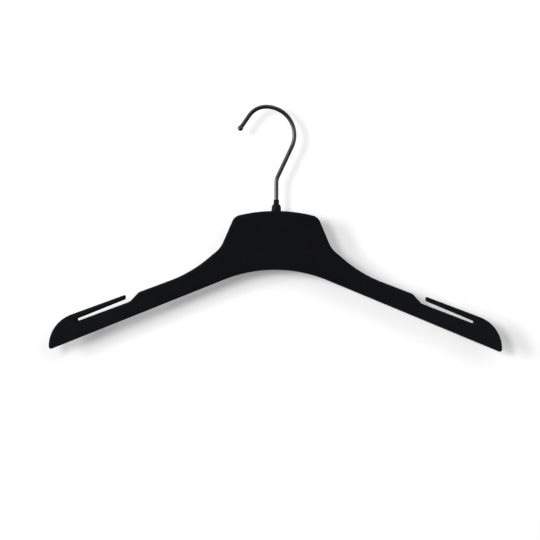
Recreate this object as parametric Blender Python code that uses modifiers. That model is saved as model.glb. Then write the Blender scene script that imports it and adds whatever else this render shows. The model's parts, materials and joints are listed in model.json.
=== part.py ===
"""Contoured shirt hanger with a swivel hook, built from its separate pieces.

Frame: metres, +Z up, +X along the width, the front of the hanger faces -Y.
Origin: the inside top of the hook, where the rail touches it.
The hanger's body turns on the hook's shank, a vertical line right of the origin.
Outlines are measured from that line and from the top of the crown.
"""
import math

import bmesh
import bpy
from mathutils import Matrix, Vector

MM = 0.001

# ---- overall sizes of the moulded body
WIDTH = 430 * MM                 # tip to tip
BODY_DEPTH = 12 * MM             # front to back at the crown
TIP_DEPTH = 10 * MM              # front to back at the shoulder tips
TIP_SWEEP = 11 * MM              # how far the tips stand forward of the crown
FLAT_HALF_WIDTH = 50 * MM        # the crown is flat this far either side of the shank
SWEEP_STATIONS = 14              # straight stretches that make up each arm's forward curve
EDGE_RADIUS = 1.1 * MM           # rounding between the faces and the rim
WALL = 2.2 * MM                  # thickness of the shells
FIT = 0.3 * MM                   # gap between pieces that touch

# ---- crown and neck, right half: across from the shank's axis, down from the crown's top
CROWN_SLOPE = math.radians(13.0)
CROWN_ARC_RADIUS = 148 * MM
CROWN_CORNER_X = 39.8 * MM
CROWN_CORNER_RADIUS = 9.9 * MM
NECK_WAIST = (52.8 * MM, 35.6 * MM)
NECK_WAIST_RADIUS = 24.5 * MM
NECK_FOOT = (81.6 * MM, 59.6 * MM)
NECK_FOOT_RADIUS = 120 * MM

# ---- arms: the top and lower lines fall away from the neck
SHOULDER_SLOPE = math.radians(20.8)
LOWER_SLOPE = math.radians(22.2)
LOWER_APEX_DROP = 45.8 * MM      # where the two lower lines would meet, below the crown's top
LOWER_ARC_RADIUS = 130 * MM
SHOULDER_TIP_RADIUS = 32 * MM
HEEL_RADIUS = 2.2 * MM

# ---- strap notch and slot, measured in from the tip and down from the shoulder line
NOTCH_FROM_TIP = 84.7 * MM
NOTCH_WIDTH = 8.3 * MM
NOTCH_DEPTH = 5.9 * MM
NOTCH_TOP_RADIUS = 4.3 * MM
NOTCH_FOOT_RADIUS = 8.4 * MM
SLOT_END_FROM_TIP = 27.2 * MM
SLOT_END_HEIGHT = 2.3 * MM
SLOT_MOUTH_HEIGHT = 3.7 * MM
SLOT_END_RADIUS = 0.9 * MM
FINGER_END_FROM_TIP = 72.4 * MM
FINGER_SLOPE = math.radians(20.5)
FINGER_RISE = 2.3 * MM           # the finger's top above the shoulder line, at its free end
FINGER_TIP_RADIUS = 1.2 * MM

# ---- hook, a bent wire: centreline sizes
WIRE_DIAMETER = 3.6 * MM
HOOK_RISE = 97.4 * MM            # from the crown's top up to the rail
HOOK_OFFSET = 10.2 * MM          # from the rail's touching point across to the shank
HOOK_RADIUS = 27 * MM            # from the leg round to the top
NOSE_RADIUS = 19.5 * MM          # from the top round to the nose
NOSE_TURN = math.radians(55.5)
NOSE_LENGTH = 12.3 * MM          # straight end, up to the ball's seat
LEG_ANGLE = math.radians(65.1)
SHANK_BEND_RADIUS = 12 * MM
BALL_DIAMETER = 5.2 * MM
BALL_SPIGOT_DIAMETER = 2.4 * MM
BALL_SPIGOT_LENGTH = 2.4 * MM

# ---- swivel, stacked on the shank from above the crown down into it
BORE_DIAMETER = WIRE_DIAMETER + 2 * FIT
COLLAR_WALL = 0.55 * MM
COLLAR_HEIGHT = 4.2 * MM
FERRULE_BASE_DIAMETER = 9.3 * MM
FERRULE_TOP_DIAMETER = 8.8 * MM
FERRULE_HEIGHT = 6.2 * MM
FERRULE_CHAMFER = 1.4 * MM
SPIGOT_LENGTH = 5 * MM           # the ferrule's spigot, inside the crown
BUSH_WALL = 1.2 * MM
BUSH_LENGTH = 9.6 * MM
BUSH_FLANGE_STEP = 0.8 * MM
BUSH_FLANGE_THICKNESS = 1.6 * MM
WASHER_DIAMETER = 7.8 * MM
WASHER_THICKNESS = 0.8 * MM
NUT_DIAMETER = 7.4 * MM
NUT_THICKNESS = 0.6 * MM
NUT_DISH = 0.6 * MM              # how far the push nut's middle is pressed down
NUT_SLOT_WIDTH = 0.5 * MM
NUT_SLOT_LENGTH = 5.6 * MM
SHANK_TAIL = 2 * MM              # bare wire below the push nut

# ---- inside of the shells
RIB_THICKNESS = 1.6 * MM
RIB_SPACING = 22 * MM
PIN_DIAMETER = 2.6 * MM
PIN_LENGTH = 2.5 * MM            # past the parting plane
PIN_BOSS_DIAMETER = 6 * MM
CROWN_PIN = (26 * MM, 24 * MM)   # across from the shank, down from the crown's top
ARM_PIN_FROM_NECK = 30 * MM      # out from the neck's foot
TIP_PIN_FROM_TIP = 26 * MM

ARC_TOLERANCE = 0.04 * MM        # how far an arc's chords may leave the true arc
TURNED_STEPS = 32
BALL_STEPS = 12                  # chords from the ball's pole down to its bore
WIRE_POINT_SPACING = 3 * MM
REACH = WIDTH                    # a size that cutters use to pass right through

HALF_WIDTH = WIDTH / 2
SPIGOT_DIAMETER = BORE_DIAMETER + 2 * BUSH_WALL
BUSH_TOP = -SPIGOT_LENGTH - FIT
BUSH_FLANGE_TOP = BUSH_TOP - BUSH_LENGTH + BUSH_FLANGE_THICKNESS
BUSH_BOTTOM = BUSH_TOP - BUSH_LENGTH
BUSH_FLANGE_DIAMETER = SPIGOT_DIAMETER + 2 * BUSH_FLANGE_STEP
WASHER_TOP = BUSH_BOTTOM - FIT
NUT_TOP = WASHER_TOP - WASHER_THICKNESS - FIT
SHANK_END = NUT_TOP - NUT_THICKNESS - NUT_DISH - SHANK_TAIL
NECK_HOLE_DIAMETER = SPIGOT_DIAMETER + 2 * FIT
NUT_CAVITY_DIAMETER = max(BUSH_FLANGE_DIAMETER, WASHER_DIAMETER, NUT_DIAMETER) + 2 * FIT
NUT_CAVITY_FLOOR = SHANK_END - 1 * MM


# ---- outlines: lists of corners (across, up, radius), clockwise seen from the front

def shoulder_z(x):
    """Height of the shoulder line, x across from the shank."""
    return -NECK_FOOT[1] - (x - NECK_FOOT[0]) * math.tan(SHOULDER_SLOPE)


def lower_z(x):
    """Height of the arm's lower line, x across from the shank."""
    return -LOWER_APEX_DROP - x * math.tan(LOWER_SLOPE)


def crown_corners():
    """Crown and neck, from the middle of the crown out to the foot of the neck."""
    apex = CROWN_ARC_RADIUS * (1 / math.cos(CROWN_SLOPE) - 1)
    corner_z = apex - CROWN_CORNER_X * math.tan(CROWN_SLOPE)
    return [
        (0, apex, CROWN_ARC_RADIUS),
        (CROWN_CORNER_X, corner_z, CROWN_CORNER_RADIUS),
        (NECK_WAIST[0], -NECK_WAIST[1], NECK_WAIST_RADIUS),
        (NECK_FOOT[0], -NECK_FOOT[1], NECK_FOOT_RADIUS),
    ]


def notch_corners():
    """The step down from the shoulder line to the slot's floor, and the slot's end."""
    notch_x = HALF_WIDTH - NOTCH_FROM_TIP
    foot_x = notch_x + NOTCH_WIDTH
    end_x = HALF_WIDTH - SLOT_END_FROM_TIP
    return [
        (notch_x, shoulder_z(notch_x), NOTCH_TOP_RADIUS),
        (foot_x, shoulder_z(foot_x) - NOTCH_DEPTH, NOTCH_FOOT_RADIUS),
        (end_x, shoulder_z(end_x) - NOTCH_DEPTH, SLOT_END_RADIUS),
    ]


def finger_top_z(x):
    """Height of the finger's top line, which runs on into the shoulder tip."""
    free_end_x = HALF_WIDTH - FINGER_END_FROM_TIP
    return shoulder_z(free_end_x) + FINGER_RISE - (x - free_end_x) * math.tan(FINGER_SLOPE)


def finger_corners():
    """The thin finger over the slot: its underside from the slot's end, then its tip."""
    end_x = HALF_WIDTH - SLOT_END_FROM_TIP
    free_end_x = HALF_WIDTH - FINGER_END_FROM_TIP
    floor_z = shoulder_z(end_x) - NOTCH_DEPTH
    mouth_floor_z = shoulder_z(free_end_x) - NOTCH_DEPTH
    return [
        (end_x, floor_z + SLOT_END_HEIGHT, SLOT_END_RADIUS),
        (free_end_x, mouth_floor_z + SLOT_MOUTH_HEIGHT, FINGER_TIP_RADIUS),
        (free_end_x, finger_top_z(free_end_x), FINGER_TIP_RADIUS),
    ]


def tip_corners():
    """The rounded shoulder tip and the pointed heel under it."""
    return [
        (HALF_WIDTH, finger_top_z(HALF_WIDTH), SHOULDER_TIP_RADIUS),
        (HALF_WIDTH, lower_z(HALF_WIDTH), HEEL_RADIUS),
    ]


def mirrored(right_half):
    """Add the left half to corners that begin and end on the middle line."""
    return right_half + [(-x, z, radius) for x, z, radius in reversed(right_half[1:-1])]


def body_corners():
    """The whole outline of the moulded body, with its two fingers."""
    apex = [(0, -LOWER_APEX_DROP, LOWER_ARC_RADIUS)]
    return mirrored(crown_corners() + notch_corners() + finger_corners() + tip_corners() + apex)


def hollow_corners():
    """The hollow inside the walls. The fingers stay solid."""
    end_x = HALF_WIDTH - SLOT_END_FROM_TIP
    block = [(end_x, finger_top_z(end_x), SLOT_END_RADIUS)]
    apex = [(0, -LOWER_APEX_DROP, LOWER_ARC_RADIUS)]
    return inset(mirrored(crown_corners() + notch_corners() + block + tip_corners() + apex), WALL)


def turn_at(before, corner, after):
    """Signed angle that the outline turns through at a corner."""
    inward = Vector(corner[:2]) - Vector(before[:2])
    outward = Vector(after[:2]) - Vector(corner[:2])
    return math.atan2(inward.x * outward.y - inward.y * outward.x, inward.dot(outward))


def inset(corners, distance):
    """Move every side of a clockwise outline inwards and fit the corner radii to it."""
    moved = []
    for index, corner in enumerate(corners):
        before = corners[index - 1]
        after = corners[(index + 1) % len(corners)]
        turn = turn_at(before, corner, after)
        side = (Vector(corner[:2]) - Vector(before[:2])).normalized()
        normal = Vector((side.y, -side.x))
        along = distance * math.tan(-turn / 2)
        point = Vector(corner[:2]) + normal * distance - side * along
        radius = corner[2] - distance if turn < 0 else corner[2] + distance
        moved.append((point.x, point.y, max(radius, SLOT_END_RADIUS)))
    return moved


def filleted(corners):
    """Points round an outline, its corners rounded by arcs that fit between neighbours."""
    count = len(corners)
    turns = [turn_at(corners[i - 1], corners[i], corners[(i + 1) % count]) for i in range(count)]
    tangents = [corner[2] * math.tan(abs(turn) / 2) for corner, turn in zip(corners, turns)]
    shares = [1.0] * count
    for index in range(count):
        other = (index + 1) % count
        length = (Vector(corners[other][:2]) - Vector(corners[index][:2])).length
        share = 0.98 * length / (tangents[index] + tangents[other])
        shares[index] = min(shares[index], share)
        shares[other] = min(shares[other], share)
    points = []
    for index, (x, z, radius) in enumerate(corners):
        corner = Vector((x, z))
        turn = turns[index]
        radius *= shares[index]
        side = (corner - Vector(corners[index - 1][:2])).normalized()
        left = Vector((-side.y, side.x)) * math.copysign(1, turn)
        start = corner - side * tangents[index] * shares[index]
        centre = start + left * radius
        step = 2 * math.acos(1 - min(ARC_TOLERANCE / radius, 0.2))
        steps = max(2, math.ceil(abs(turn) / step))
        spoke = start - centre
        for tick in range(steps + 1):
            points.append(centre + Matrix.Rotation(turn * tick / steps, 2) @ spoke)
    return points


# ---- scene and objects

def remove_everything():
    """Start from an empty scene."""
    for item in list(bpy.data.objects):
        bpy.data.objects.remove(item, do_unlink=True)


def new_collection(name):
    """A collection in the scene."""
    collection = bpy.data.collections.new(name)
    bpy.context.scene.collection.children.link(collection)
    return collection


remove_everything()
PARTS = new_collection("clothes_hanger")
CUTTERS = new_collection("cutters")


def make_material(name, colour, roughness, metallic=0.0):
    """A Principled material."""
    material = bpy.data.materials.new(name)
    material.use_nodes = True
    shader = material.node_tree.nodes["Principled BSDF"]
    shader.inputs["Base Color"].default_value = (*colour, 1.0)
    shader.inputs["Roughness"].default_value = roughness
    shader.inputs["Metallic"].default_value = metallic
    return material


def new_object(name, data, collection, parent=None):
    """An object in one of the collections."""
    item = bpy.data.objects.new(name, data)
    collection.objects.link(item)
    item.parent = parent
    return item


def as_cutter(item):
    """Mark an object as a guide that isn't part of the model."""
    item.hide_render = True
    item.display_type = "WIRE"
    return item


def smooth(item, angle=math.radians(35)):
    """Shade round faces smooth and keep the edges sharp."""
    item.data.shade_smooth()
    item.data.set_sharp_from_angle(angle=angle)


def evaluated_mesh(item):
    """The mesh of an object with its modifiers or its curve's thickness."""
    graph = bpy.context.evaluated_depsgraph_get()
    mesh = bpy.data.meshes.new_from_object(item.evaluated_get(graph))
    mesh.transform(item.matrix_world)
    return mesh


def curve_to_object(name, curve_item, collection, parent=None):
    """Turn a curve into a closed mesh object and remove the curve."""
    bpy.context.view_layer.update()
    mesh = evaluated_mesh(curve_item)
    bpy.data.objects.remove(curve_item, do_unlink=True)
    work = bmesh.new()
    work.from_mesh(mesh)
    bmesh.ops.remove_doubles(work, verts=work.verts, dist=0.002 * MM)
    bmesh.ops.recalc_face_normals(work, faces=work.faces)
    work.to_mesh(mesh)
    work.free()
    return new_object(name, mesh, collection, parent)


def plate(name, corners, depth, rounding=0.0):
    """A flat outline standing in the XZ plane, depth thick, with rounded edges."""
    curve = bpy.data.curves.new(name, "CURVE")
    curve.dimensions = "2D"
    curve.fill_mode = "BOTH"
    curve.extrude = depth / 2 - rounding
    curve.bevel_depth = rounding
    curve.bevel_resolution = 1
    curve.offset = -rounding
    points = filleted(corners)
    spline = curve.splines.new("POLY")
    spline.points.add(len(points) - 1)
    for target, point in zip(spline.points, points):
        target.co = (point.x, point.y, 0, 1)
    spline.use_cyclic_u = True
    item = new_object(name, curve, CUTTERS)
    item.rotation_euler = (math.pi / 2, 0, 0)
    return curve_to_object(name, item, CUTTERS)


def boolean(item, operand, operation):
    """Cut, join or trim an object by another one."""
    modifier = item.modifiers.new(operand.name, "BOOLEAN")
    modifier.operation = operation
    modifier.object = operand
    modifier.solver = "EXACT"


def boxes(name, sizes_and_centres):
    """Boxes that don't meet, in one mesh."""
    work = bmesh.new()
    for size, centre in sizes_and_centres:
        placing = Matrix.Translation(centre) @ Matrix.Diagonal((*size, 1))
        bmesh.ops.create_cube(work, size=1, matrix=placing)
    mesh = bpy.data.meshes.new(name)
    work.to_mesh(mesh)
    work.free()
    return as_cutter(new_object(name, mesh, CUTTERS))


def rods(name, diameter, start_y, end_y, places, segments=16):
    """Round rods along Y at the given (x, z) places, in one mesh."""
    work = bmesh.new()
    for x, z in places:
        placing = Matrix.Translation((x, (start_y + end_y) / 2, z)) @ Matrix.Rotation(math.pi / 2, 4, "X")
        bmesh.ops.create_cone(
            work, cap_ends=True, segments=segments, radius1=diameter / 2, radius2=diameter / 2,
            depth=abs(end_y - start_y), matrix=placing)
    mesh = bpy.data.meshes.new(name)
    work.to_mesh(mesh)
    work.free()
    return as_cutter(new_object(name, mesh, CUTTERS))


def turned(name, profile, collection, parent=None, closed=True):
    """A piece turned about the shank from a profile of (radius, height).

    A closed profile makes a ring, an open one has its ends on the axis.
    """
    mesh = bpy.data.meshes.new(name)
    count = len(profile)
    edges = [(index, (index + 1) % count) for index in range(count if closed else count - 1)]
    mesh.from_pydata([(radius, 0, z) for radius, z in profile], edges, [])
    item = new_object(name, mesh, collection, parent)
    screw = item.modifiers.new("turn", "SCREW")
    screw.steps = TURNED_STEPS
    screw.render_steps = TURNED_STEPS
    screw.use_merge_vertices = True
    screw.merge_threshold = 0.005 * MM
    screw.use_smooth_shade = False
    return item


# ---- the moulded body

def arm_middle(x):
    """A place half way between the arm's top and lower lines."""
    return (x, (shoulder_z(x) - NOTCH_DEPTH / 2 + lower_z(x)) / 2)


def pin_places():
    """Where the shells' locating pins stand, on both sides."""
    right = [
        (CROWN_PIN[0], -CROWN_PIN[1]),
        arm_middle(NECK_FOOT[0] + ARM_PIN_FROM_NECK),
        arm_middle(HALF_WIDTH - TIP_PIN_FROM_TIP),
    ]
    return right + [(-x, z) for x, z in right]


def rib_places():
    """Distances of the cross ribs from the shank, between the crown's and the tips' pins."""
    first = CROWN_PIN[0] + RIB_SPACING
    last = HALF_WIDTH - TIP_PIN_FROM_TIP - PIN_BOSS_DIAMETER
    arm_pin = NECK_FOOT[0] + ARM_PIN_FROM_NECK
    count = int((last - first) / RIB_SPACING) + 1
    places = [first + RIB_SPACING * index for index in range(count)]
    return [x for x in places if abs(x - arm_pin) > PIN_BOSS_DIAMETER / 2 + RIB_THICKNESS]


def hollow():
    """The space between the shells, with boss, ribs and pin bosses left standing."""
    core = as_cutter(plate("hollow", hollow_corners(), BODY_DEPTH - 2 * WALL))
    boss_width = NUT_CAVITY_DIAMETER + 2 * WALL
    boss_bottom = NUT_CAVITY_FLOOR - WALL
    boss = boxes("neck_boss", [((boss_width, REACH, -2 * boss_bottom), (0, 0, 0))])
    rib_size = (RIB_THICKNESS, REACH, REACH)
    ribs = boxes("ribs", [(rib_size, (side * x, 0, 0)) for x in rib_places() for side in (1, -1)])
    bosses = rods("pin_bosses", PIN_BOSS_DIAMETER, -REACH / 2, REACH / 2, pin_places())
    for kept in (boss, ribs, bosses):
        boolean(core, kept, "DIFFERENCE")
    return core


def neck_bore():
    """The stepped hole for ferrule, bush, washer and push nut."""
    ledge = BUSH_FLANGE_TOP + FIT
    return as_cutter(turned("neck_bore", [
        (0, FERRULE_HEIGHT),
        (NECK_HOLE_DIAMETER / 2, FERRULE_HEIGHT),
        (NECK_HOLE_DIAMETER / 2, ledge),
        (NUT_CAVITY_DIAMETER / 2, ledge),
        (NUT_CAVITY_DIAMETER / 2, NUT_CAVITY_FLOOR),
        (0, NUT_CAVITY_FLOOR),
    ], CUTTERS, closed=False))


def station_positions():
    """Distances from the shank at which the arm's forward curve changes direction."""
    reach = HALF_WIDTH - FLAT_HALF_WIDTH
    return [FLAT_HALF_WIDTH + reach * index / SWEEP_STATIONS for index in range(SWEEP_STATIONS + 1)]


def sweep_at(x):
    """How far forward the parting plane stands, straight between stations."""
    reach = HALF_WIDTH - FLAT_HALF_WIDTH
    place = max(0.0, (abs(x) - FLAT_HALF_WIDTH) / reach) * SWEEP_STATIONS
    station = min(int(place), SWEEP_STATIONS - 1)
    near = (station / SWEEP_STATIONS) ** 2
    far = ((station + 1) / SWEEP_STATIONS) ** 2
    return TIP_SWEEP * (near + (far - near) * (place - station))


def slimming_at(x):
    """Thickness there as a share of the crown's."""
    share = max(0.0, (abs(x) - FLAT_HALF_WIDTH) / (HALF_WIDTH - FLAT_HALF_WIDTH))
    return 1 - share * (1 - TIP_DEPTH / BODY_DEPTH)


def sweep_arms(mesh, side):
    """Curve a shell's arms forward and slim them towards the tips."""
    work = bmesh.new()
    work.from_mesh(mesh)
    for station in station_positions()[:-1]:
        for x in (station, -station):
            everything = work.verts[:] + work.edges[:] + work.faces[:]
            bmesh.ops.bisect_plane(work, geom=everything, plane_co=(x, 0, 0), plane_no=(1, 0, 0))
    parting = side * FIT / 2
    for vertex in work.verts:
        x = vertex.co.x
        vertex.co.y = parting + (vertex.co.y - parting) * slimming_at(x) - sweep_at(x)
    bmesh.ops.remove_doubles(work, verts=work.verts, dist=0.002 * MM)
    work.to_mesh(mesh)
    work.free()


def shell(name, side, cores, parent, material):
    """One moulded half of the body. side is -1 for the front and 1 for the back."""
    blank = plate(name, body_corners(), BODY_DEPTH, EDGE_RADIUS)
    middle = side * (FIT / 2 + REACH / 2)
    half_space = boxes(name + "_half", [((2 * REACH, REACH, 2 * REACH), (0, middle, 0))])
    boolean(blank, half_space, "INTERSECT")
    for core in cores:
        boolean(blank, core, "DIFFERENCE")
    if side < 0:
        root = -BODY_DEPTH / 2 + WALL
        boolean(blank, rods("pins", PIN_DIAMETER, root, PIN_LENGTH, pin_places()), "UNION")
    else:
        width = PIN_DIAMETER + 2 * FIT
        boolean(blank, rods("sockets", width, -PIN_LENGTH, PIN_LENGTH + FIT, pin_places()), "DIFFERENCE")
    bpy.context.view_layer.update()
    mesh = evaluated_mesh(blank)
    bpy.data.objects.remove(blank, do_unlink=True)
    sweep_arms(mesh, side)
    item = new_object(name, mesh, PARTS, parent)
    item.data.materials.clear()
    item.data.materials.append(material)
    smooth(item)
    return item


# ---- the hook

def hook_path():
    """Centreline of the wire as (x, z) points, from the shank's lower end to the nose."""
    wire_radius = WIRE_DIAMETER / 2
    top = wire_radius
    arc_centre = Vector((0, top - HOOK_RADIUS))
    leg = Vector((math.cos(LEG_ANGLE), math.sin(LEG_ANGLE)))
    leave = arc_centre + HOOK_RADIUS * Vector((leg.y, -leg.x))
    bend_z = leave.y - (leave.x - HOOK_OFFSET) * math.tan(LEG_ANGLE)
    bend_turn = math.pi / 2 - LEG_ANGLE
    bend_centre = Vector((HOOK_OFFSET + SHANK_BEND_RADIUS, bend_z - SHANK_BEND_RADIUS * math.tan(bend_turn / 2)))
    points = [Vector((HOOK_OFFSET, -HOOK_RISE + SHANK_END)), Vector((HOOK_OFFSET, -HOOK_RISE))]
    points += arc_points(bend_centre, SHANK_BEND_RADIUS, math.pi, math.pi - bend_turn)
    points += arc_points(arc_centre, HOOK_RADIUS, LEG_ANGLE - math.pi / 2, math.pi / 2)
    nose_centre = Vector((0, top - NOSE_RADIUS))
    points += arc_points(nose_centre, NOSE_RADIUS, math.pi / 2, math.pi / 2 + NOSE_TURN)[1:]
    heading = math.pi + NOSE_TURN
    points.append(points[-1] + NOSE_LENGTH * Vector((math.cos(heading), math.sin(heading))))
    return points


def arc_points(centre, radius, start, end):
    """Points along an arc, about as far apart as the wire's other points."""
    count = max(3, round(radius * abs(end - start) / WIRE_POINT_SPACING))
    angles = [start + (end - start) * index / count for index in range(count + 1)]
    return [centre + radius * Vector((math.cos(angle), math.sin(angle))) for angle in angles]


def hook_end():
    """The end of the wire's full thickness, and the direction in which it points."""
    points = hook_path()
    return points[-1], (points[-1] - points[-2]).normalized()


def hook_wire(material):
    """The bent wire, turned down at the nose for the ball."""
    curve = bpy.data.curves.new("hook_wire", "CURVE")
    curve.dimensions = "3D"
    curve.bevel_depth = WIRE_DIAMETER / 2
    curve.bevel_resolution = 4
    curve.use_fill_caps = True
    end, heading = hook_end()
    thin = BALL_SPIGOT_DIAMETER / WIRE_DIAMETER
    path = [(point, 1.0) for point in hook_path()]
    path.append((end + heading * 0.01 * MM, thin))
    path.append((end + heading * BALL_SPIGOT_LENGTH, thin))
    spline = curve.splines.new("POLY")
    spline.points.add(len(path) - 1)
    for target, (point, radius) in zip(spline.points, path):
        target.co = (point.x, 0, point.y, 1)
        target.radius = radius
    item = curve_to_object("hook_wire", new_object("hook_wire_curve", curve, CUTTERS), PARTS)
    item.data.materials.append(material)
    smooth(item)
    return item


def hook_tip_ball(material):
    """The ball on the hook's nose, bored to take the wire's spigot."""
    end, heading = hook_end()
    radius = BALL_DIAMETER / 2
    bore_radius = BALL_SPIGOT_DIAMETER / 2 + FIT
    mouth_angle = -math.acos(bore_radius / radius)
    mouth_z = radius * math.sin(mouth_angle)
    bore_top = mouth_z + BALL_SPIGOT_LENGTH
    profile = [(0, radius)]
    for tick in range(1, BALL_STEPS + 1):
        angle = math.pi / 2 + (mouth_angle - math.pi / 2) * tick / BALL_STEPS
        profile.append((radius * math.cos(angle), radius * math.sin(angle)))
    profile += [(bore_radius, bore_top), (0, bore_top)]
    item = turned("hook_tip_ball", profile, PARTS, closed=False)
    place = end + heading * (FIT - mouth_z)
    item.location = (place.x, 0, place.y)
    item.rotation_euler = (0, math.atan2(heading.x, heading.y), 0)
    item.data.materials.append(material)
    return item


# ---- the swivel

def neck_ferrule(parent, material):
    """The wide black ferrule on the crown, with a spigot down into it."""
    shoulder = FERRULE_HEIGHT - FERRULE_CHAMFER
    item = turned("neck_ferrule", [
        (FERRULE_TOP_DIAMETER / 2 - FERRULE_CHAMFER, FERRULE_HEIGHT),
        (FERRULE_TOP_DIAMETER / 2, shoulder),
        (FERRULE_BASE_DIAMETER / 2, FIT),
        (SPIGOT_DIAMETER / 2, FIT),
        (SPIGOT_DIAMETER / 2, -SPIGOT_LENGTH),
        (BORE_DIAMETER / 2, -SPIGOT_LENGTH),
        (BORE_DIAMETER / 2, FERRULE_HEIGHT),
    ], PARTS, parent)
    item.data.materials.append(material)
    return item


def swivel_bush(parent, material):
    """The flanged sleeve that the shank turns in, trapped between the shells."""
    item = turned("swivel_bush", [
        (SPIGOT_DIAMETER / 2, BUSH_TOP),
        (SPIGOT_DIAMETER / 2, BUSH_FLANGE_TOP),
        (BUSH_FLANGE_DIAMETER / 2, BUSH_FLANGE_TOP),
        (BUSH_FLANGE_DIAMETER / 2, BUSH_BOTTOM),
        (BORE_DIAMETER / 2, BUSH_BOTTOM),
        (BORE_DIAMETER / 2, BUSH_TOP),
    ], PARTS, parent)
    item.data.materials.append(material)
    return item


def hook_collar(parent, material):
    """The narrow sleeve fixed on the wire, just above the ferrule."""
    bottom = FERRULE_HEIGHT + FIT
    top = bottom + COLLAR_HEIGHT
    outer = BORE_DIAMETER / 2 + COLLAR_WALL
    item = turned("hook_collar", [
        (outer - COLLAR_WALL / 2, top),
        (outer, top - COLLAR_WALL / 2),
        (outer, bottom),
        (BORE_DIAMETER / 2, bottom),
        (BORE_DIAMETER / 2, top),
    ], PARTS, parent)
    item.data.materials.append(material)
    return item


def thrust_washer(parent, material):
    """The flat steel washer that carries the load on the bush's flange."""
    bottom = WASHER_TOP - WASHER_THICKNESS
    item = turned("thrust_washer", [
        (WASHER_DIAMETER / 2, WASHER_TOP),
        (WASHER_DIAMETER / 2, bottom),
        (BORE_DIAMETER / 2, bottom),
        (BORE_DIAMETER / 2, WASHER_TOP),
    ], PARTS, parent)
    item.data.materials.append(material)
    return item


def push_nut(parent, material):
    """The dished spring-steel nut pushed onto the wire, with slots between its teeth."""
    item = turned("push_nut", [
        (NUT_DIAMETER / 2, NUT_TOP),
        (NUT_DIAMETER / 2, NUT_TOP - NUT_THICKNESS),
        (BORE_DIAMETER / 2, NUT_TOP - NUT_THICKNESS - NUT_DISH),
        (BORE_DIAMETER / 2, NUT_TOP - NUT_DISH),
    ], PARTS, parent)
    for index in range(3):
        slot = boxes("nut_slot_%d" % (index + 1), [
            ((NUT_SLOT_LENGTH, NUT_SLOT_WIDTH, 4 * NUT_THICKNESS + NUT_DISH), (0, 0, NUT_TOP - NUT_THICKNESS))])
        slot.parent = parent
        slot.rotation_euler = (0, 0, math.pi * index / 3)
        boolean(item, slot, "DIFFERENCE")
    item.data.materials.append(material)
    return item


def main():
    """Build every piece."""
    shank = bpy.data.objects.new("shank_axis", None)
    PARTS.objects.link(shank)
    shank.location = (HOOK_OFFSET, 0, -HOOK_RISE)

    flock = make_material("black_flock", (0.006, 0.006, 0.007), 0.9)
    steel = make_material("black_nickel", (0.10, 0.10, 0.11), 0.3, 1.0)
    black = make_material("black_plastic", (0.010, 0.010, 0.011), 0.45)
    nylon = make_material("natural_nylon", (0.60, 0.58, 0.52), 0.5)
    zinc = make_material("zinc_steel", (0.45, 0.46, 0.48), 0.35, 1.0)

    cores = (hollow(), neck_bore())
    shell("front_shell", -1, cores, shank, flock)
    shell("back_shell", 1, cores, shank, flock)
    neck_ferrule(shank, black)
    swivel_bush(shank, nylon)

    hook_wire(steel)
    hook_tip_ball(steel)
    hook_collar(shank, black)
    thrust_washer(shank, zinc)
    push_nut(shank, zinc)


main()
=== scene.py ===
"""Looks of the contoured clothes hanger: flocked body, black nickel hook, white wall.

Frame: metres, +Z up, +X along the width, the front faces -Y. The origin is the inside
top of the hook. Body outlines are measured from the shank's axis and the crown's top.
"""
import json
import math

import bmesh
import bpy
from mathutils import Matrix, Vector, geometry, kdtree


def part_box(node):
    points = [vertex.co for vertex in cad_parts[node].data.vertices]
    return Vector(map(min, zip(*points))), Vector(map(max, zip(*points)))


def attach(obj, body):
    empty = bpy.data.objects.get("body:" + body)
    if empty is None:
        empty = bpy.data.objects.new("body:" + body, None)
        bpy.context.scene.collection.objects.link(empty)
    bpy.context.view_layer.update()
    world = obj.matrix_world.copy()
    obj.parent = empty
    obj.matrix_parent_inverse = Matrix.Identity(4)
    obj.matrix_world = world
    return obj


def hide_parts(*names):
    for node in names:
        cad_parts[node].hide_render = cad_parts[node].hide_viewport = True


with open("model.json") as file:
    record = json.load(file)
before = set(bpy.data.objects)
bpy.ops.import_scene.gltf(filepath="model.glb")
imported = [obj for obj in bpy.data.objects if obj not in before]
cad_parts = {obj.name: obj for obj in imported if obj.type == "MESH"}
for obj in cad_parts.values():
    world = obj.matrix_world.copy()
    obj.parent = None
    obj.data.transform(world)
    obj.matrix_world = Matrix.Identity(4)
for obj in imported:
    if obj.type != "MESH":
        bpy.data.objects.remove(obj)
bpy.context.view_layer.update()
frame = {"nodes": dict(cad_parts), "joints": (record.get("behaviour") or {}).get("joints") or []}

MM = 0.001

# ---- places that the frame gives
SWIVEL = next(joint for joint in frame["joints"] if joint["name"] == "hook_swivel")
SHANK_X = SWIVEL["pos_m"][0]
CROWN_Z = SWIVEL["pos_m"][2]
SHELL_LOW, SHELL_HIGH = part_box("front_shell")
HALF_WIDTH = (SHELL_HIGH[0] - SHELL_LOW[0]) / 2
BODY_DEPTH = 2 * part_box("back_shell")[1][1]
WIRE_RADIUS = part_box("hook_wire")[1][1]
WIRE_END_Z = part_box("hook_wire")[0][2]
BALL_LOW, BALL_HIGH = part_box("hook_tip_ball")
COLLAR_LOW, COLLAR_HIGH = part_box("hook_collar")
FERRULE_LOW, FERRULE_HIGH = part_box("neck_ferrule")

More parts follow.
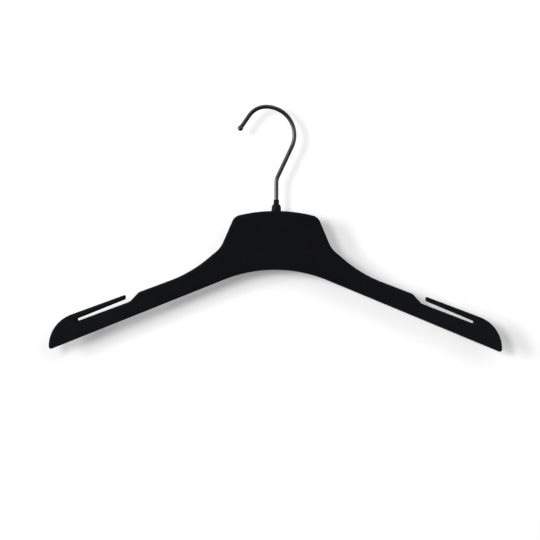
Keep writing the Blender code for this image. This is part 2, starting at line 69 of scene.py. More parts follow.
# ---- the moulded body
TIP_DEPTH = 10 * MM
TIP_SWEEP = 11 * MM
FLAT_HALF_WIDTH = 50 * MM
RIM_RADIUS = 3.2 * MM            # rounding between face and rim
SKIN = 1.0 * MM                  # wall of the visible shells
SEAM_DEPTH = 0.28 * MM           # the weld line round the rim
OUTLINE_SPACING = 1.0 * MM
GRID_SPACING = 3.0 * MM          # between points on the flat of a face
ROUND_STEPS = 7                  # rings of points along the rounding
RING_TOLERANCE = 0.985           # share of its distance from the rim that a ring's point keeps
SEAM_HEIGHTS = (0.6 * MM, 0.35 * MM, 0.12 * MM, 0.02 * MM)
SEAM_INSETS = (0, 0.03 * MM, 0.12 * MM, SEAM_DEPTH)
SHARP_BODY = math.radians(40)
SHARP_HOOK = math.radians(45)
WELD = 0.001 * MM                # points closer than this are one
PAINTED_HIGHLIGHT_START = 60 * MM          # painted highlight: the flock's colour lightens from here out towards the arms' ends, standing in for their sheen
# where the painted highlight on the arms reaches full strength, measured in from the tip
PAINTED_HIGHLIGHT_END_FROM_TIP = 25 * MM

CROWN_SLOPE = math.radians(13.0)
CROWN_ARC_RADIUS = 148 * MM
CROWN_CORNER_X = 39.8 * MM
CROWN_CORNER_RADIUS = 9.9 * MM
NECK_WAIST = (52.8 * MM, 35.6 * MM)
NECK_WAIST_RADIUS = 24.5 * MM
NECK_FOOT = (81.6 * MM, 59.6 * MM)
NECK_FOOT_RADIUS = 120 * MM
SHOULDER_SLOPE = math.radians(20.8)
LOWER_SLOPE = math.radians(22.2)
LOWER_APEX_DROP = 45.8 * MM
LOWER_ARC_RADIUS = 130 * MM
SHOULDER_TIP_RADIUS = 32 * MM
HEEL_RADIUS = 2.2 * MM
NOTCH_FROM_TIP = 84.7 * MM
NOTCH_WIDTH = 8.3 * MM
NOTCH_DEPTH = 5.9 * MM
NOTCH_TOP_RADIUS = 4.3 * MM
NOTCH_FOOT_RADIUS = 8.4 * MM
SLOT_END_FROM_TIP = 27.2 * MM
SLOT_END_HEIGHT = 2.3 * MM
SLOT_MOUTH_HEIGHT = 3.7 * MM
SLOT_END_RADIUS = 0.9 * MM
FINGER_END_FROM_TIP = 72.4 * MM
FINGER_SLOPE = math.radians(20.5)
FINGER_RISE = 2.3 * MM
FINGER_TIP_RADIUS = 1.2 * MM
NECK_HOLE_RADIUS = 3.6 * MM
NECK_HOLE_DEPTH = 12 * MM

# ---- the hook's centreline
HOOK_RADIUS = 27 * MM
NOSE_RADIUS = 19.5 * MM
NOSE_TURN = math.radians(55.5)
LEG_ANGLE = math.radians(65.1)
SHANK_BEND_RADIUS = 12 * MM
WIRE_POINT_SPACING = 0.8 * MM
WIRE_ALLOWANCE = 0.12 * MM       # the bright wall eats into the thin dark wire in the picture

# ---- ferrule and collar
TURNED_STEPS = 96
CROWN_GAP = 0.05 * MM            # under the ferrule's shoulder
SPIGOT_GAP = 0.3 * MM            # between the ferrule's spigot and the neck hole
COLLAR_GAP = 0.06 * MM           # between the collar and the ferrule
WIRE_GAP = 0.1 * MM              # round the wire in the ferrule
COLLAR_GRIP = 0.02 * MM          # round the wire in the collar
FERRULE_LIP_RADIUS = 2.75 * MM
CHAMFER_TOP_RADIUS = 3.35 * MM
CHAMFER_DROP = 1.9 * MM
CHAMFER_STEP = 0.35 * MM         # how far the chamfer's foot stands in from the base

# ---- the picture
CAMERA_LENS = 200.0
CAMERA_DISTANCE = 2.858
CAMERA_AIM = (0.0046, 0.0, -0.1537)
CAMERA_ROLL = math.radians(0.3755)
WALL_Y = 0.26                    # further than the arms reach when the body turns
WALL_HALF_SIZE = 3
WALL_ALBEDO = 0.7
WALL_ALBEDO_REFLECTED = 0.175    # for glossy rays, so that the hook mirrors less of it
WORLD_DIFFUSE = 0.42


# ---------------------------------------------------------------- materials

def new_material(name):
    """A node material and its Principled shader."""
    material = bpy.data.materials.new(name)
    material.use_nodes = True
    return material, material.node_tree, material.node_tree.nodes["Principled BSDF"]


def noise(tree, scale, detail=4.0, roughness=0.5):
    """Noise in the object's own coordinates, scale in cells per metre."""
    coords = tree.nodes.new("ShaderNodeTexCoord")
    texture = tree.nodes.new("ShaderNodeTexNoise")
    texture.inputs["Scale"].default_value = scale
    texture.inputs["Detail"].default_value = detail
    texture.inputs["Roughness"].default_value = roughness
    tree.links.new(coords.outputs["Object"], texture.inputs["Vector"])
    return texture.outputs["Fac"]


def spread(tree, value, low, high):
    """A value from 0..1 stretched to low..high."""
    node = tree.nodes.new("ShaderNodeMapRange")
    node.inputs["From Min"].default_value = 0.3
    node.inputs["From Max"].default_value = 0.7
    node.inputs["To Min"].default_value = low
    node.inputs["To Max"].default_value = high
    tree.links.new(value, node.inputs["Value"])
    return node.outputs["Result"]


def mix_colours(tree, factor, low, high):
    """A colour between two, by a factor."""
    node = tree.nodes.new("ShaderNodeMix")
    node.data_type = "RGBA"
    node.inputs["A"].default_value = (*low, 1.0)
    node.inputs["B"].default_value = (*high, 1.0)
    tree.links.new(factor, node.inputs["Factor"])
    return node.outputs["Result"]


def bump(tree, height, distance, strength, under=None):
    """A bump normal from a height, over another bump if given."""
    node = tree.nodes.new("ShaderNodeBump")
    node.inputs["Distance"].default_value = distance
    node.inputs["Strength"].default_value = strength
    tree.links.new(height, node.inputs["Height"])
    if under is not None:
        tree.links.new(under, node.inputs["Normal"])
    return node.outputs["Normal"]


def multiplied(tree, first, second):
    """Two colours multiplied."""
    node = tree.nodes.new("ShaderNodeVectorMath")
    node.operation = "MULTIPLY"
    tree.links.new(first, node.inputs[0])
    tree.links.new(second, node.inputs[1])
    return node.outputs[0]


def painted_tip_highlight(tree):
    """Painted highlight: 0 at the crown, 1 near the arms' ends, where the flock's colour is lightened to
    stand in for their sheen.
    """
    coords = tree.nodes.new("ShaderNodeTexCoord")
    parts = tree.nodes.new("ShaderNodeSeparateXYZ")
    tree.links.new(coords.outputs["Object"], parts.inputs[0])
    across = tree.nodes.new("ShaderNodeMath")
    across.operation = "SUBTRACT"
    across.inputs[1].default_value = SHANK_X
    tree.links.new(parts.outputs["X"], across.inputs[0])
    distance = tree.nodes.new("ShaderNodeMath")
    distance.operation = "ABSOLUTE"
    tree.links.new(across.outputs[0], distance.inputs[0])
    ramp = tree.nodes.new("ShaderNodeMapRange")
    ramp.interpolation_type = "SMOOTHSTEP"
    ramp.inputs["From Min"].default_value = PAINTED_HIGHLIGHT_START
    ramp.inputs["From Max"].default_value = HALF_WIDTH - PAINTED_HIGHLIGHT_END_FROM_TIP
    tree.links.new(distance.outputs[0], ramp.inputs["Value"])
    return ramp.outputs["Result"]


def flock_material():
    """Short black nylon fibres: no gloss, a soft sheen, a fine pile brushed unevenly, and a painted
    highlight towards the arms' ends.
    """
    material, tree, shader = new_material("black_flock")
    pile = noise(tree, 2600.0, 3.0, 0.7)
    brushed = noise(tree, 60.0, 5.0, 0.6)
    tone = tree.nodes.new("ShaderNodeMath")
    tone.operation = "MULTIPLY"
    tree.links.new(spread(tree, pile, 0.42, 1.06), tone.inputs[0])
    tree.links.new(spread(tree, brushed, 0.7, 1.0), tone.inputs[1])
    colour = mix_colours(tree, tone.outputs[0], (0.0012, 0.0013, 0.0017), (0.0056, 0.0060, 0.0072))
    # painted highlight: the colour is made lighter towards the arms' ends, in place of the sheen they catch
    painted_tip_tint = mix_colours(tree, painted_tip_highlight(tree), (1.0, 1.0, 1.0), (1.38, 1.38, 1.34))
    tree.links.new(multiplied(tree, colour, painted_tip_tint), shader.inputs["Base Color"])
    shader.inputs["Roughness"].default_value = 0.95
    shader.inputs["Specular IOR Level"].default_value = 0.12
    shader.inputs["Sheen Weight"].default_value = 0.05
    shader.inputs["Sheen Roughness"].default_value = 0.45
    shader.inputs["Sheen Tint"].default_value = (0.80, 0.86, 1.0, 1.0)
    coarse = bump(tree, brushed, 0.25 * MM, 0.35)
    tree.links.new(bump(tree, pile, 0.12 * MM, 0.8, coarse), shader.inputs["Normal"])
    return material


def nickel_material():
    """Black nickel over drawn steel wire: dark mirror with faint drawing marks."""
    material, tree, shader = new_material("black_nickel")
    clouds = noise(tree, 180.0, 4.0, 0.6)
    grain = noise(tree, 2200.0, 2.0, 0.5)
    colour = mix_colours(tree, spread(tree, clouds, 0.0, 1.0), (0.076, 0.070, 0.080), (0.102, 0.094, 0.106))
    tree.links.new(colour, shader.inputs["Base Color"])
    shader.inputs["Metallic"].default_value = 1.0
    tree.links.new(spread(tree, clouds, 0.22, 0.34), shader.inputs["Roughness"])
    tree.links.new(bump(tree, grain, 0.01 * MM, 0.25), shader.inputs["Normal"])
    return material


def plastic_material():
    """Black moulded plastic with a fine satin grain."""
    material, tree, shader = new_material("black_plastic")
    grain = noise(tree, 3000.0, 2.0, 0.5)
    clouds = noise(tree, 300.0, 3.0, 0.5)
    patches = spread(tree, clouds, 0.0, 1.0)
    colour = mix_colours(tree, patches, (0.0045, 0.0045, 0.0055), (0.0070, 0.0070, 0.0080))
    tree.links.new(colour, shader.inputs["Base Color"])
    tree.links.new(spread(tree, clouds, 0.5, 0.64), shader.inputs["Roughness"])
    shader.inputs["Specular IOR Level"].default_value = 0.12
    tree.links.new(bump(tree, grain, 0.02 * MM, 0.3), shader.inputs["Normal"])
    return material


def nylon_material():
    """Natural nylon, for the bush inside the neck."""
    material, tree, shader = new_material("natural_nylon")
    clouds = noise(tree, 400.0, 3.0, 0.5)
    colour = mix_colours(tree, spread(tree, clouds, 0.0, 1.0), (0.56, 0.53, 0.45), (0.64, 0.61, 0.53))
    tree.links.new(colour, shader.inputs["Base Color"])
    shader.inputs["Roughness"].default_value = 0.5
    return material


def zinc_material():
    """Zinc-plated steel, for the washer and the push nut."""
    material, tree, shader = new_material("zinc_steel")
    spangle = noise(tree, 900.0, 2.0, 0.5)
    colour = mix_colours(tree, spread(tree, spangle, 0.0, 1.0), (0.40, 0.41, 0.43), (0.52, 0.53, 0.55))
    tree.links.new(colour, shader.inputs["Base Color"])
    shader.inputs["Metallic"].default_value = 1.0
    tree.links.new(spread(tree, spangle, 0.28, 0.45), shader.inputs["Roughness"])
    return material


# ---------------------------------------------------------------- outline of the body

def shoulder_z(x):
    """Height of the shoulder line, x across from the shank."""
    return -NECK_FOOT[1] - (x - NECK_FOOT[0]) * math.tan(SHOULDER_SLOPE)


def lower_z(x):
    """Height of the arm's lower line."""
    return -LOWER_APEX_DROP - x * math.tan(LOWER_SLOPE)


def body_corners():
    """The outline's corners (across, up, radius), clockwise seen from the front."""
    apex = CROWN_ARC_RADIUS * (1 / math.cos(CROWN_SLOPE) - 1)
    notch_x = HALF_WIDTH - NOTCH_FROM_TIP
    foot_x = notch_x + NOTCH_WIDTH
    end_x = HALF_WIDTH - SLOT_END_FROM_TIP
    free_x = HALF_WIDTH - FINGER_END_FROM_TIP
    finger_top = shoulder_z(free_x) + FINGER_RISE
    tip_top = finger_top - (HALF_WIDTH - free_x) * math.tan(FINGER_SLOPE)
    right = [
        (0, apex, CROWN_ARC_RADIUS),
        (CROWN_CORNER_X, apex - CROWN_CORNER_X * math.tan(CROWN_SLOPE), CROWN_CORNER_RADIUS),
        (NECK_WAIST[0], -NECK_WAIST[1], NECK_WAIST_RADIUS),
        (NECK_FOOT[0], -NECK_FOOT[1], NECK_FOOT_RADIUS),
        (notch_x, shoulder_z(notch_x), NOTCH_TOP_RADIUS),
        (foot_x, shoulder_z(foot_x) - NOTCH_DEPTH, NOTCH_FOOT_RADIUS),
        (end_x, shoulder_z(end_x) - NOTCH_DEPTH, SLOT_END_RADIUS),
        (end_x, shoulder_z(end_x) - NOTCH_DEPTH + SLOT_END_HEIGHT, SLOT_END_RADIUS),
        (free_x, shoulder_z(free_x) - NOTCH_DEPTH + SLOT_MOUTH_HEIGHT, FINGER_TIP_RADIUS),
        (free_x, finger_top, FINGER_TIP_RADIUS),
        (HALF_WIDTH, tip_top, SHOULDER_TIP_RADIUS),
        (HALF_WIDTH, lower_z(HALF_WIDTH), HEEL_RADIUS),
        (0, -LOWER_APEX_DROP, LOWER_ARC_RADIUS),
    ]
    return right + [(-x, z, radius) for x, z, radius in reversed(right[1:-1])]


def filleted(corners):
    """Points round an outline, evenly spaced, its corners rounded by arcs."""
    points = []
    count = len(corners)
    for index, (x, z, radius) in enumerate(corners):
        corner = Vector((x, z))
        arrive = (corner - Vector(corners[index - 1][:2])).normalized()
        leave = (Vector(corners[(index + 1) % count][:2]) - corner).normalized()
        turn = math.atan2(arrive.x * leave.y - arrive.y * leave.x, arrive.dot(leave))
        left = Vector((-arrive.y, arrive.x)) * math.copysign(1, turn)
        start = corner - arrive * radius * math.tan(abs(turn) / 2)
        centre = start + left * radius
        if points:
            points += between(points[-1], start)
        steps = max(4, math.ceil(abs(turn) * radius / OUTLINE_SPACING))
        spoke = start - centre
        points += [centre + Matrix.Rotation(turn * tick / steps, 2) @ spoke for tick in range(steps + 1)]
    return points + between(points[-1], points[0])


def between(start, end):
    """Evenly spaced points strictly between two places."""
    count = max(1, round((end - start).length / OUTLINE_SPACING))
    return [start.lerp(end, tick / count) for tick in range(1, count)]


def inward_normals(points):
    """Unit normals that point into a clockwise outline."""
    normals = []
    count = len(points)
    for index in range(count):
        along = (points[(index + 1) % count] - points[index - 1]).normalized()
        normals.append(Vector((along.y, -along.x)))
    return normals


# ---------------------------------------------------------------- shells

def face_height(distance):
    """Height of the face over the parting plane, that far in from the rim."""
    if distance >= RIM_RADIUS:
        return BODY_DEPTH / 2
    drop = RIM_RADIUS - math.sqrt(RIM_RADIUS ** 2 - (RIM_RADIUS - distance) ** 2)
    return BODY_DEPTH / 2 - drop


def curved_place(x, height, z, side):
    """A point of a shell in the row frame, its arm curved forward and slimmed."""
    share = max(0.0, (abs(x) - FLAT_HALF_WIDTH) / (HALF_WIDTH - FLAT_HALF_WIDTH))
    depth = height * (1 - share * (1 - TIP_DEPTH / BODY_DEPTH))
    return (SHANK_X + x, side * depth - TIP_SWEEP * share ** 2, CROWN_Z + z)


def face_points(outline, normals):
    """Places on the face inside the outline: rings along the rounding, then a grid."""
    tree = kdtree.KDTree(len(outline))
    for index, point in enumerate(outline):
        tree.insert((point.x, point.y, 0), index)
    tree.balance()

    def clearance(place):
        """Distance from a place to the outline, measured to its nearest sides."""
        _, index, _ = tree.find((place.x, place.y, 0))
        sides = ((index - 1, index), (index, (index + 1) % len(outline)))
        return min(
            (place - geometry.intersect_point_line(place, outline[a], outline[b])[0].xy).length
            for a, b in sides)

    inner = []
    for step in range(1, ROUND_STEPS + 1):
        distance = RIM_RADIUS * (1 - math.cos(math.pi / 2 * step / ROUND_STEPS))
        for point, normal in zip(outline, normals):
            place = point + normal * distance
            if clearance(place) > distance * RING_TOLERANCE:
                inner.append((place, distance))
    low_x = min(point.x for point in outline)
    low_z = min(point.y for point in outline)
    high_z = max(point.y for point in outline)
    columns = int(2 * -low_x / GRID_SPACING)
    rows = int((high_z - low_z) / GRID_SPACING)
    for column in range(1, columns):
        for row in range(1, rows):
            shift = GRID_SPACING / 2 if row % 2 else 0
            place = Vector((low_x + column * GRID_SPACING + shift, low_z + row * GRID_SPACING))
            distance = clearance(place)
            if distance > RIM_RADIUS + GRID_SPACING / 3:
                inner.append((place, distance))
    return inner


def shell_mesh(name, side):
    """The outer surface of one shell: face, rounded edge, rim and seam."""
    outline = filleted(body_corners())
    normals = inward_normals(outline)
    inner = face_points(outline, normals)
    flat = outline + [place for place, _ in inner]
    loop = list(range(len(outline)))
    vertices, _, faces, origins, _, _ = geometry.delaunay_2d_cdt(flat, [], [loop], 1, WELD)
    distances = [0.0] * len(outline) + [distance for _, distance in inner]
    work = bmesh.new()
    made = []
    for place, source in zip(vertices, origins):
        distance = distances[source[0]] if source else 0.0
        made.append(work.verts.new(curved_place(place.x, face_height(distance), place.y, side)))
    for corners in faces:
        work.faces.new([made[corner] for corner in corners])
    lookup = {source[0]: made[index] for index, source in enumerate(origins) if source}
    rim = [lookup[index] for index in loop]
    wall = BODY_DEPTH / 2 - RIM_RADIUS
    for height, into in zip((wall / 2, *SEAM_HEIGHTS), (0, *SEAM_INSETS)):
        lower = []
        for point, normal in zip(outline, normals):
            place = point + normal * into
            lower.append(work.verts.new(curved_place(place.x, height, place.y, side)))
        for index in range(len(rim)):
            after = (index + 1) % len(rim)
            work.faces.new((rim[index], lower[index], lower[after], rim[after]))
        rim = lower
    bmesh.ops.recalc_face_normals(work, faces=work.faces)
    mesh = bpy.data.meshes.new(name)
    work.to_mesh(mesh)
    work.free()
    return mesh


def link(name, data):
    """An object in the scene."""
    item = bpy.data.objects.new(name, data)
    bpy.context.scene.collection.objects.link(item)
    return item


def applied(item):
    """Turn an object's modifiers, or a curve, into a plain mesh object of the same name."""
    bpy.context.view_layer.update()
    graph = bpy.context.evaluated_depsgraph_get()
    mesh = bpy.data.meshes.new_from_object(item.evaluated_get(graph))
    name = item.name
    bpy.data.objects.remove(item, do_unlink=True)
    return link(name, mesh)


def neck_hole():
    """A cutter through the crown's top for the ferrule's spigot and the shank."""
    work = bmesh.new()
    bmesh.ops.create_cone(
        work, cap_ends=True, segments=48, radius1=NECK_HOLE_RADIUS, radius2=NECK_HOLE_RADIUS,
        depth=NECK_HOLE_DEPTH, matrix=Matrix.Translation((SHANK_X, 0, CROWN_Z)))
    mesh = bpy.data.meshes.new("neck_hole")
    work.to_mesh(mesh)
    work.free()
    return link("neck_hole", mesh)


def flocked_shell(name, node, side, material):
    """One visible shell, a thin skin with its neck hole."""
    item = link(name, shell_mesh(name, side))
    solidify = item.modifiers.new("skin", "SOLIDIFY")
    solidify.thickness = SKIN
    solidify.offset = -1
    cutter = neck_hole()
    hole = item.modifiers.new("neck", "BOOLEAN")
    hole.operation = "DIFFERENCE"
    hole.object = cutter
    item = applied(item)
    bpy.data.objects.remove(cutter, do_unlink=True)
    item.data.materials.clear()
    item.data.materials.append(material)
    item.data.shade_smooth()
    item.data.set_sharp_from_angle(angle=SHARP_BODY)
    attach(item, "hanger_body")
    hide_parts(node)
    return item


# ---------------------------------------------------------------- hook

def arc(centre, radius, start, end):
    """Points along an arc in the XZ plane."""
    count = max(3, round(radius * abs(end - start) / WIRE_POINT_SPACING))
    angles = [start + (end - start) * index / count for index in range(count + 1)]
    return [centre + radius * Vector((math.cos(angle), math.sin(angle))) for angle in angles]


def ball_centre():
    """Middle of the tip ball as (x, z)."""
    return Vector(((BALL_LOW[0] + BALL_HIGH[0]) / 2, (BALL_LOW[2] + BALL_HIGH[2]) / 2))


def hook_path():
    """Centreline of the wire, from the shank's lower end into the ball."""
    centre = Vector((0, WIRE_RADIUS - HOOK_RADIUS))
    leg = Vector((math.cos(LEG_ANGLE), math.sin(LEG_ANGLE)))
    leave = centre + HOOK_RADIUS * Vector((leg.y, -leg.x))
    bend_z = leave.y - (leave.x - SHANK_X) * math.tan(LEG_ANGLE)
    turn = math.pi / 2 - LEG_ANGLE
    bend = Vector((SHANK_X + SHANK_BEND_RADIUS, bend_z - SHANK_BEND_RADIUS * math.tan(turn / 2)))
    points = [Vector((SHANK_X, WIRE_END_Z))]
    points += arc(bend, SHANK_BEND_RADIUS, math.pi, math.pi - turn)
    points += arc(centre, HOOK_RADIUS, LEG_ANGLE - math.pi / 2, math.pi / 2)
    nose = Vector((0, WIRE_RADIUS - NOSE_RADIUS))
    points += arc(nose, NOSE_RADIUS, math.pi / 2, math.pi / 2 + NOSE_TURN)[1:]
    points.append(ball_centre())
    return points


def finish_metal(item, node, material):
    """Material and smooth shading of a piece of the hook or neck, with its CAD node hidden."""
    item.data.materials.clear()
    item.data.materials.append(material)
    item.data.shade_smooth()
    item.data.set_sharp_from_angle(angle=SHARP_HOOK)
    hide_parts(node)
    return item


def hook_wire(material):
    """The bent wire, round and smooth."""
    curve = bpy.data.curves.new("hook_wire_fine", "CURVE")
    curve.dimensions = "3D"
    curve.bevel_depth = WIRE_RADIUS + WIRE_ALLOWANCE
    curve.bevel_resolution = 10
    curve.use_fill_caps = True
    path = hook_path()
    spline = curve.splines.new("POLY")
    spline.points.add(len(path) - 1)
    for target, point in zip(spline.points, path):
        target.co = (point.x, 0, point.y, 1)
    item = applied(link("hook_wire_fine", curve))
    work = bmesh.new()
    work.from_mesh(item.data)
    bmesh.ops.remove_doubles(work, verts=work.verts, dist=WELD)
    work.to_mesh(item.data)
    work.free()
    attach(item, "hook")
    return finish_metal(item, "hook_wire", material)


def hook_ball(material):
    """The ball on the hook's nose."""
    radius = (BALL_HIGH[1] - BALL_LOW[1]) / 2
    place = ball_centre()
    work = bmesh.new()
    bmesh.ops.create_uvsphere(
        work, u_segments=64, v_segments=40, radius=radius,
        matrix=Matrix.Translation((place.x, 0, place.y)))
    mesh = bpy.data.meshes.new("hook_ball_fine")
    work.to_mesh(mesh)
    work.free()
    item = link("hook_ball_fine", mesh)
    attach(item, "hook")
    return finish_metal(item, "hook_tip_ball", material)


def rounded_profile(corners):
    """A turned profile (radius, height, fillet) with its corners rounded."""
    points = []
    count = len(corners)
    for index, (r, z, fillet) in enumerate(corners):
        corner = Vector((r, z))
        arrive = (corner - Vector(corners[index - 1][:2])).normalized()
        leave = (Vector(corners[(index + 1) % count][:2]) - corner).normalized()
        turn = math.atan2(arrive.x * leave.y - arrive.y * leave.x, arrive.dot(leave))
        if fillet <= 0 or abs(turn) < 0.01:
            points.append(corner)
            continue
        start = corner - arrive * fillet * math.tan(abs(turn) / 2)
        centre = start + Vector((-arrive.y, arrive.x)) * math.copysign(fillet, turn)
        spoke = start - centre
        points += [centre + Matrix.Rotation(turn * tick / 5, 2) @ spoke for tick in range(6)]
    return points


def turned(name, corners):
    """A ring turned about the shank's axis from a closed profile."""
    profile = rounded_profile(corners)
    mesh = bpy.data.meshes.new(name)
    count = len(profile)
    edges = [(index, (index + 1) % count) for index in range(count)]
    mesh.from_pydata([(point.x, 0, point.y) for point in profile], edges, [])
    item = link(name, mesh)
    screw = item.modifiers.new("turn", "SCREW")
    screw.steps = TURNED_STEPS
    screw.render_steps = TURNED_STEPS
    screw.use_merge_vertices = True
    screw.merge_threshold = WELD
    item = applied(item)
    item.location = (SHANK_X, 0, 0)
    return item


def neck_ferrule(material):
    """The stepped black ferrule on the crown."""
    base = (FERRULE_HIGH[0] - FERRULE_LOW[0]) / 2
    top = FERRULE_HIGH[2]
    spigot = NECK_HOLE_RADIUS - SPIGOT_GAP
    bore = WIRE_RADIUS + WIRE_ALLOWANCE + WIRE_GAP
    shoulder = CROWN_Z + CROWN_GAP
    item = turned("neck_ferrule_fine", [
        (FERRULE_LIP_RADIUS, top, 0.15 * MM),
        (CHAMFER_TOP_RADIUS, top - 0.1 * MM, 0.2 * MM),
        (base - CHAMFER_STEP, top - CHAMFER_DROP, 0.6 * MM),
        (base, shoulder, 0.1 * MM),
        (spigot, shoulder, 0),
        (spigot, FERRULE_LOW[2], 0.2 * MM),
        (bore, FERRULE_LOW[2], 0),
        (bore, top, 0),
    ])
    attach(item, "hanger_body")
    return finish_metal(item, "neck_ferrule", material)


def hook_collar(material):
    """The narrow black sleeve on the wire."""
    outer = (COLLAR_HIGH[0] - COLLAR_LOW[0]) / 2
    top = COLLAR_HIGH[2]
    bottom = FERRULE_HIGH[2] + COLLAR_GAP
    bore = WIRE_RADIUS + WIRE_ALLOWANCE + COLLAR_GRIP
    item = turned("hook_collar_fine", [
        (WIRE_RADIUS + WIRE_ALLOWANCE + 0.2 * MM, top, 0.1 * MM),
        (outer - 0.1 * MM, top - 0.1 * MM, 0.3 * MM),
        (outer, bottom, 0.05 * MM),
        (bore, bottom, 0),
        (bore, top - 0.35 * MM, 0),
    ])
    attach(item, "hook")
    return finish_metal(item, "hook_collar", material)


# ---------------------------------------------------------------- wall, light and camera

def wall():
    """A plain white wall behind the hanger, seen from the front only."""
    mesh = bpy.data.meshes.new("wall")
    reach = WALL_HALF_SIZE
    square = ((-reach, -reach), (reach, -reach), (reach, reach), (-reach, reach))
    mesh.from_pydata([(x, WALL_Y, z) for x, z in square], [], [(0, 1, 2, 3)])
    item = link("wall", mesh)
    material, tree, shader = new_material("wall_white")
    tree.nodes.remove(shader)
    path = tree.nodes.new("ShaderNodeLightPath")
    paint = tree.nodes.new("ShaderNodeMix")
    paint.inputs["A"].default_value = WALL_ALBEDO
    paint.inputs["B"].default_value = WALL_ALBEDO_REFLECTED
    tree.links.new(path.outputs["Is Glossy Ray"], paint.inputs["Factor"])
    diffuse = tree.nodes.new("ShaderNodeBsdfDiffuse")
    tree.links.new(paint.outputs["Result"], diffuse.inputs["Color"])
    clear = tree.nodes.new("ShaderNodeBsdfTransparent")
    facing = tree.nodes.new("ShaderNodeNewGeometry")
    choose = tree.nodes.new("ShaderNodeMixShader")
    tree.links.new(facing.outputs["Backfacing"], choose.inputs["Fac"])
    tree.links.new(diffuse.outputs[0], choose.inputs[1])
    tree.links.new(clear.outputs[0], choose.inputs[2])
    tree.links.new(choose.outputs[0], tree.nodes["Material Output"].inputs["Surface"])
    mesh.materials.append(material)
    return item


def area_light(name, place, aim, size, power):
    """A softbox that points at a place."""
    light = bpy.data.lights.new(name, "AREA")
    light.shape = "RECTANGLE"
    light.size, light.size_y = size
    light.energy = power
    item = link(name, light)
    item.location = place
    item.rotation_euler = (Vector(aim) - Vector(place)).to_track_quat("-Z", "Y").to_euler()
    return item


def collection_of(name, items):
    """A collection outside the scene, for light linking."""
    group = bpy.data.collections.new(name)
    for item in items:
        group.objects.link(item)
    return group


def wall_lamp(name, receiver, blockers, shift, drop, softness, share):
    """A lamp beside the camera for the wall alone.

    It draws the blockers' shadow, moved across by shift and down by drop, with an edge
    as wide as softness.
    """
    reach = CAMERA_DISTANCE + WALL_Y
    slant = reach / WALL_Y           # a lamp moves this much further than its shadow
    light = bpy.data.lights.new(name, "AREA")
    light.shape = "DISK"
    light.size = softness * slant
    light.energy = share * math.pi ** 2 * reach ** 2 / WALL_ALBEDO
    item = link(name, light)
    item.location = (CAMERA_AIM[0] - shift * slant, -CAMERA_DISTANCE, CAMERA_AIM[2] + drop * slant)
    item.rotation_euler = (math.pi / 2, 0, 0)
    item.visible_glossy = False
    item.light_linking.receiver_collection = collection_of(name + "_lights", [receiver])
    item.light_linking.blocker_collection = collection_of(name + "_blocks", blockers)
    return item


def directional(tree, axis, low, high, at_low, at_high):
    """A smooth ramp over one part of the ray's direction."""
    coords = tree.nodes.new("ShaderNodeTexCoord")
    parts = tree.nodes.new("ShaderNodeSeparateXYZ")
    tree.links.new(coords.outputs["Generated"], parts.inputs[0])
    ramp = tree.nodes.new("ShaderNodeMapRange")
    ramp.interpolation_type = "SMOOTHSTEP"
    ramp.inputs["From Min"].default_value = low
    ramp.inputs["From Max"].default_value = high
    ramp.inputs["To Min"].default_value = at_low
    ramp.inputs["To Max"].default_value = at_high
    tree.links.new(parts.outputs[axis], ramp.inputs["Value"])
    return ramp.outputs["Result"]


def calculated(tree, operation, first, second):
    """Two values combined."""
    node = tree.nodes.new("ShaderNodeMath")
    node.operation = operation
    tree.links.new(first, node.inputs[0])
    tree.links.new(second, node.inputs[1])
    return node.outputs[0]


def room():
    """The white room: even for diffuse light; in reflections a window on the left."""
    world = bpy.data.worlds.new("studio")
    bpy.context.scene.world = world
    world.use_nodes = True
    tree = world.node_tree
    leftward = directional(tree, "X", low=-0.95, high=0.0, at_low=2.9, at_high=0.0)
    below_ceiling = directional(tree, "Z", low=0.12, high=0.55, at_low=1.0, at_high=0.15)
    room_walls = directional(tree, "Z", low=-0.6, high=0.45, at_low=0.28, at_high=0.30)
    above_floor = directional(tree, "Z", low=-0.6, high=0.45, at_low=0.05, at_high=1.0)
    window = calculated(tree, "MULTIPLY", leftward, below_ceiling)
    walls = calculated(tree, "ADD", window, room_walls)
    mirrored_room = calculated(tree, "MULTIPLY", walls, above_floor)
    path = tree.nodes.new("ShaderNodeLightPath")
    shiny = tree.nodes.new("ShaderNodeMix")
    shiny.inputs["A"].default_value = WORLD_DIFFUSE
    tree.links.new(path.outputs["Is Glossy Ray"], shiny.inputs["Factor"])
    tree.links.new(mirrored_room, shiny.inputs["B"])
    seen = tree.nodes.new("ShaderNodeMix")
    seen.inputs["B"].default_value = 1.0
    tree.links.new(path.outputs["Is Camera Ray"], seen.inputs["Factor"])
    tree.links.new(shiny.outputs["Result"], seen.inputs["A"])
    background = tree.nodes["Background"]
    background.inputs["Color"].default_value = (1, 1, 1, 1)
    tree.links.new(seen.outputs["Result"], background.inputs["Strength"])


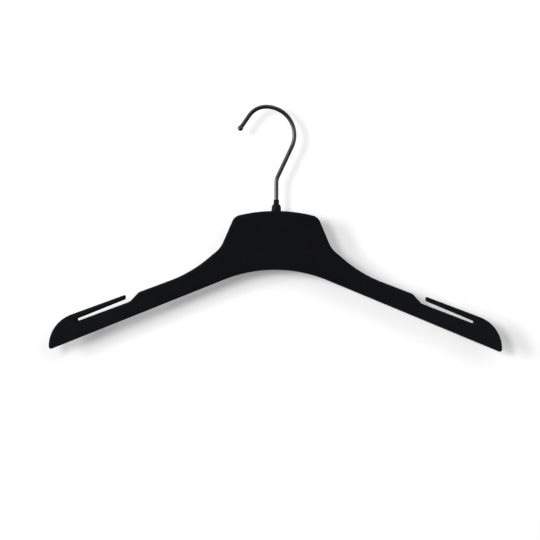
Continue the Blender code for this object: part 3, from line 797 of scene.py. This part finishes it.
def lights(backdrop, body_pieces, hook_pieces):
    """Softboxes on the left and above, a weak one on the right, and the wall's own lamps.

    The wall stands further back than the real one, so that the body can turn before it.
    The lamps' places put the shadows about where the photo shows them.
    """
    middle = (SHANK_X, 0, CROWN_Z - 0.05)
    boxes = [
        area_light("key_left", (-1.5, -0.9, -0.1), aim=middle, size=(1.2, 0.8), power=16.0),
        area_light("fill_right", (1.7, -1.2, 0.1), aim=middle, size=(0.8, 1.4), power=9.0),
        area_light("top", (0.1, -0.6, 1.6), aim=middle, size=(1.4, 0.8), power=6.0),
    ]
    not_wall = collection_of("not_wall", [backdrop])
    not_wall.collection_objects[0].light_linking.link_state = "EXCLUDE"
    for item in boxes:
        item.light_linking.receiver_collection = not_wall
    wall_lamp("lamp_above", backdrop, body_pieces,
              shift=-8 * MM, drop=12 * MM, softness=32 * MM, share=0.22)
    wall_lamp("lamp_near", backdrop, body_pieces + hook_pieces,
              shift=11 * MM, drop=4 * MM, softness=8 * MM, share=0.30)
    wall_lamp("lamp_left", backdrop, body_pieces,
              shift=29 * MM, drop=6 * MM, softness=16 * MM, share=0.25)
    room()


def camera():
    """Straight on, a long lens, with the slight roll of the picture."""
    data = bpy.data.cameras.new("camera")
    data.lens = CAMERA_LENS
    data.clip_end = 20
    item = link("camera", data)
    place = Matrix.Translation(Vector(CAMERA_AIM) + Vector((0, -CAMERA_DISTANCE, 0)))
    item.matrix_world = place @ Matrix.Rotation(math.pi / 2, 4, "X") @ Matrix.Rotation(CAMERA_ROLL, 4, "Z")
    bpy.context.scene.camera = item


# ---------------------------------------------------------------- build

def paint_node(node, material):
    """Give a kept CAD node its material."""
    mesh = frame["nodes"][node].data
    mesh.materials.clear()
    mesh.materials.append(material)


def main():
    """Camera, pieces, wall and light."""
    bpy.context.scene.view_settings.view_transform = "Standard"
    camera()
    flock = flock_material()
    nickel = nickel_material()
    plastic = plastic_material()
    zinc = zinc_material()
    body_pieces = [
        flocked_shell("front_shell_flocked", "front_shell", -1, flock),
        flocked_shell("back_shell_flocked", "back_shell", 1, flock),
        neck_ferrule(plastic),
    ]
    hook_pieces = [hook_wire(nickel), hook_ball(nickel), hook_collar(plastic)]
    paint_node("swivel_bush", nylon_material())
    paint_node("thrust_washer", zinc)
    paint_node("push_nut", zinc)
    lights(wall(), body_pieces, hook_pieces)


main()
